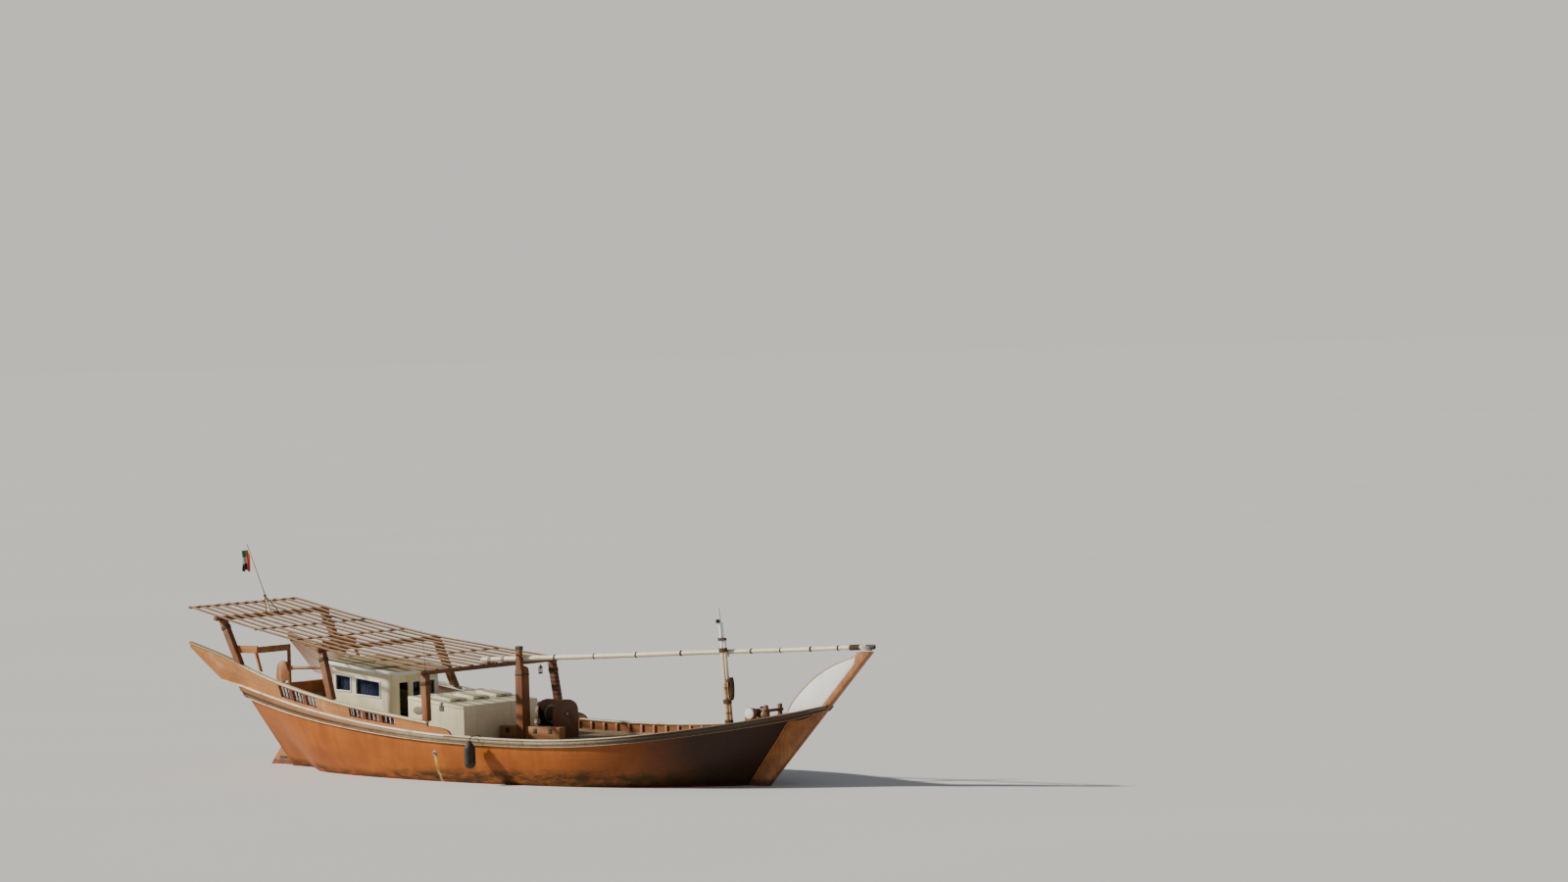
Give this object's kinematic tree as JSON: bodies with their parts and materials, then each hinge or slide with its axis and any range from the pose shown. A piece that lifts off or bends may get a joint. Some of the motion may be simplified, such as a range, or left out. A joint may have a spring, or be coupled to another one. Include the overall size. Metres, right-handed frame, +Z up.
{
  "type": "dhow sailing boat",
  "caption": "Wooden dhow with raked stem, swept-up quarter bulwarks, slatted sun-shade, wheelhouse, ice box, short foremast and a long stowed spar, afloat.",
  "frame": {"origin": "on the centre line at the waterline, near midships", "axes": "+X towards the bow, +Y to port, +Z up"},
  "size_m": [27.5434, 7.625, 9.4186],
  "materials": {
    "cream_shell": "cream painted shell",
    "dark_red_wood": "dark red paint",
    "dark_wood": "dark oiled hardwood",
    "deck_planks": "bare worn planks",
    "fender_rubber": "matt black",
    "flag_cloth": "thin cloth",
    "galvanised_steel": "dull galvanised",
    "hull_paint": "orange-brown varnish paint",
    "oiled_wood": "oiled hardwood",
    "pale_paint": "worn cream paint",
    "propeller_bronze": "polished bronze",
    "roof_slats": "bare sun-faded slats",
    "spar_paint": "cream paint",
    "weathered_wood": "weathered oil",
    "white_paint": "white gloss paint",
    "window_glass": "dark glass with blue curtains behind"
  },
  "bodies": {
    "boat": {"hull": "hull_paint", "bulwark_starboard": "hull_paint", "bulwark_port": "hull_paint", "main_deck": "deck_planks", "fore_deck": "deck_planks", "keel": "dark_red_wood", "stem_post": "oiled_wood", "stem_board": "white_paint", "transom": "hull_paint", "stern_post": "dark_red_wood", "wale_starboard": "weathered_wood", "wale_port": "weathered_wood", "rail_cap_starboard": "pale_paint", "rail_cap_port": "pale_paint", "quarter_bulwark_starboard": "hull_paint", "quarter_cap_starboard": "pale_paint", "balusters_starboard": "white_paint", "quarter_bulwark_port": "hull_paint", "quarter_cap_port": "pale_paint", "balusters_port": "white_paint", "roof_slats": "roof_slats", "roof_beam_stern": "dark_wood", "roof_beam_middle": "dark_wood", "roof_beam_fore": "dark_wood", "roof_post_stern_starboard": "oiled_wood", "roof_post_middle_starboard": "oiled_wood", "roof_post_fore_starboard": "oiled_wood", "roof_post_stern_port": "oiled_wood", "roof_post_middle_port": "oiled_wood", "roof_post_fore_port": "oiled_wood", "stern_seat_starboard": "oiled_wood", "stern_seat_port": "oiled_wood", "flagstaff": "spar_paint", "flag": "flag_cloth", "wheelhouse_front": "cream_shell", "wheelhouse_side_starboard": "cream_shell", "wheelhouse_glass_starboard": "window_glass", "wheelhouse_side_port": "cream_shell", "wheelhouse_glass_port": "window_glass", "wheelhouse_glass_front": "window_glass", "wheelhouse_back": "cream_shell", "wheelhouse_roof": "white_paint", "ice_box": "cream_shell", "mast_step": "dark_wood", "tabernacle_post": "oiled_wood", "winch_frame": "dark_wood", "windlass_frame": "oiled_wood", "foremast": "spar_paint", "spar": "spar_paint", "fender": "fender_rubber"},
    "rudder": {"rudder": "dark_red_wood", "tiller": "pale_paint"},
    "propeller": {"propeller": "propeller_bronze"},
    "wheelhouse_door": {"wheelhouse_door": "pale_paint"},
    "lid_starboard": {"ice_box_lid_starboard": "cream_shell"},
    "lid_middle": {"ice_box_lid_middle": "cream_shell"},
    "lid_port": {"ice_box_lid_port": "cream_shell"},
    "winch_drum": {"winch_drum": "galvanised_steel"},
    "windlass_drum": {"windlass_drum": "pale_paint"}
  },
  "joints": [
    {"name": "rudder_turn", "type": "hinge", "parent": "boat", "child": "rudder", "pos_m": [-10.8803, 0, 0], "axis": [-0.1647, 0, 0.9863], "range_deg": [-30, 30]},
    {"name": "propeller_spin", "type": "hinge", "parent": "boat", "child": "propeller", "pos_m": [-9.84, 0, -1], "axis": [1, 0, 0], "continuous": true},
    {"name": "wheelhouse_door_swing", "type": "hinge", "parent": "boat", "child": "wheelhouse_door", "pos_m": [-5.23, -0.876, 0], "axis": [0, 0, 1], "range_deg": [-90, 0]},
    {"name": "lid_starboard_lift", "type": "hinge", "parent": "boat", "child": "lid_starboard", "pos_m": [-3.33223, -1.08, 2.59069], "axis": [0, 1, 0], "range_deg": [-95, 0]},
    {"name": "lid_middle_lift", "type": "hinge", "parent": "boat", "child": "lid_middle", "pos_m": [-3.33223, 0.06, 2.59069], "axis": [0, 1, 0], "range_deg": [-95, 0]},
    {"name": "lid_port_lift", "type": "hinge", "parent": "boat", "child": "lid_port", "pos_m": [-3.33223, 1.2, 2.59069], "axis": [0, 1, 0], "range_deg": [-95, 0]},
    {"name": "winch_spin", "type": "hinge", "parent": "boat", "child": "winch_drum", "pos_m": [0.075, 1, 1.96], "axis": [1, 0, 0], "continuous": true},
    {"name": "windlass_spin", "type": "hinge", "parent": "boat", "child": "windlass_drum", "pos_m": [9.4, 0, 2.33], "axis": [0, 1, 0], "continuous": true}
  ]
}
